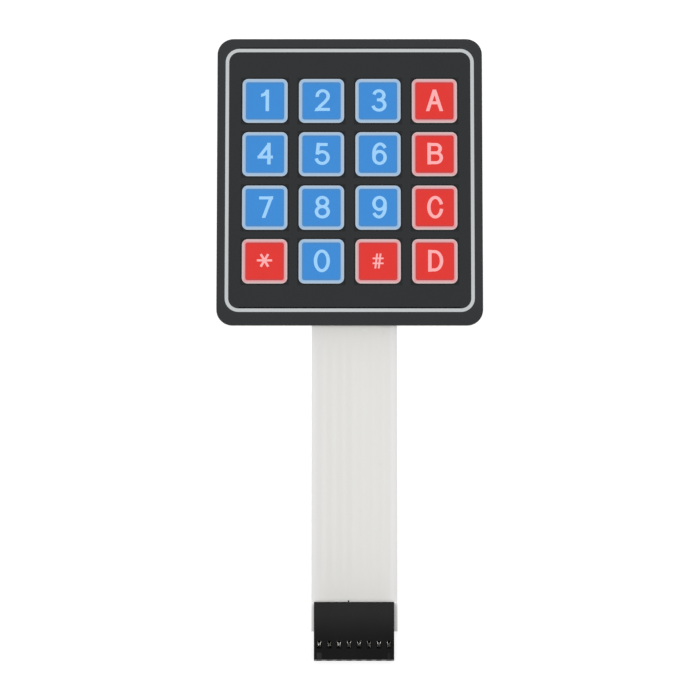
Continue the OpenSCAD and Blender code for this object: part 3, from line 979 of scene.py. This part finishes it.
def dressSolids():
    prints = ("border_line_print", "key_outline_print", "blue_key_print", "red_key_print")
    for name in ("release_liner", "spacer_film", *prints):
        dress(name, finishes[name])
    for name in ("rear_adhesive", "overlay_adhesive"):
        dress(name, finishes["adhesive"])
    for kind, count in (("row", keys["rows"]), ("column", keys["columns"])):
        for number in range(count):
            dress("%s_track_%d" % (kind, number + 1), finishes["track"])
    dress("connector_housing", finishes["connector_housing"], solids["housingEdge"])
    for way in range(ways):
        dress("contact_%d" % (way + 1), finishes["contact"], solids["contactEdge"])


dressSolids()
print("solids dressed")


# stands away from an aim and faces it: turn and height in degrees, from the tail's side
def standAt(made, aim, turn, height, distance):
    turn, up = math.radians(turn), math.radians(height)
    way = Vector((math.sin(turn) * math.cos(up), -math.cos(turn) * math.cos(up), math.sin(up)))
    made.location = (Vector(aim) + way * distance) * mm
    made.rotation_euler = (-way).to_track_quat("-Z", "Y").to_euler()
    bpy.context.scene.collection.objects.link(made)


studio = {
    "floorSize": 4000, "floorDrop": 0.02,
    "floorAside": 400,  # keeps the seam between the floor's two triangles clear of the pad
    "floorColour": "b8b8b8", "floorGlow": 0.67, "floorRoughness": 0.9,
    "tone": (400.0, 400.0, 400.0), "toneLevel": (0.99, 1.01),
    "fill": 0.25, "panelSize": (900, 1300), "panelDistance": 1500, "panelHeight": 50,
    "panelTurns": (45, 135, 225, 315), "panelPower": 6.6,
}


# pale paper, open from below so that the back can be looked at
def paperFinish():
    look = studio
    paper = Finish("studioPaper", {
        "Specular IOR Level": 0.0, "Roughness": look["floorRoughness"],
        "Emission Color": white, "Emission Strength": look["floorGlow"],
    })
    tone = paper.noise(look["tone"], detail=1.0)
    paper.feed("Base Color", paper.shade(paint(look["floorColour"]), tone.between(*look["toneLevel"])))
    clear = paper.node("ShaderNodeBsdfTransparent")
    behind = paper.node("ShaderNodeNewGeometry", output="Backfacing")
    shaded = Wire(paper, paper.shader.outputs[0])
    shown = paper.node("ShaderNodeMixShader", sockets={0: behind, 1: shaded, 2: clear})
    paper.tree.links.new(shown.socket, paper.output.inputs[0])
    return paper.material


def buildFloor():
    half = studio["floorSize"] / 2 * mm
    aside = studio["floorAside"] * mm
    z = -studio["floorDrop"] * mm
    left, right = aside - half, aside + half
    corners = [(left, -half, z), (right, -half, z), (right, half, z), (left, half, z)]
    mesh = bpy.data.meshes.new("studioFloor")
    mesh.from_pydata(corners, [], [(0, 1, 2, 3)])
    mesh.materials.append(paperFinish())
    floor = bpy.data.objects.new("studioFloor", mesh)
    bpy.context.scene.collection.objects.link(floor)


def buildLights():
    world = bpy.data.worlds.new("studioFill")
    world.use_nodes = True
    background = world.node_tree.nodes["Background"]
    background.inputs["Color"].default_value = white
    background.inputs["Strength"].default_value = studio["fill"]
    bpy.context.scene.world = world
    for number, turn in enumerate(studio["panelTurns"]):
        light = bpy.data.lights.new("softPanel%d" % (number + 1), "AREA")
        light.shape = "RECTANGLE"
        light.size, light.size_y = (side * mm for side in studio["panelSize"])
        light.energy = studio["panelPower"]
        lamp = bpy.data.objects.new(light.name, light)
        standAt(lamp, (0, tailRoot, 0), turn, studio["panelHeight"], studio["panelDistance"])


photoView = {
    "elevation": 78.8, "distance": 1349.3, "aim": (0.07, -44.64, 0.8),
    "focalPixels": 5228, "imagePixels": 700, "sensor": 36,
}


def buildCamera():
    look = photoView
    lens = bpy.data.cameras.new("photoCamera")
    lens.sensor_fit = "HORIZONTAL"
    lens.sensor_width = look["sensor"]
    lens.lens = look["sensor"] * look["focalPixels"] / look["imagePixels"]
    camera = bpy.data.objects.new("photoCamera", lens)
    standAt(camera, look["aim"], 0, look["elevation"], look["distance"])
    bpy.context.scene.camera = camera
    bpy.context.scene.view_settings.view_transform = "Standard"


buildFloor()
buildLights()
buildCamera()
print("studio and camera placed")
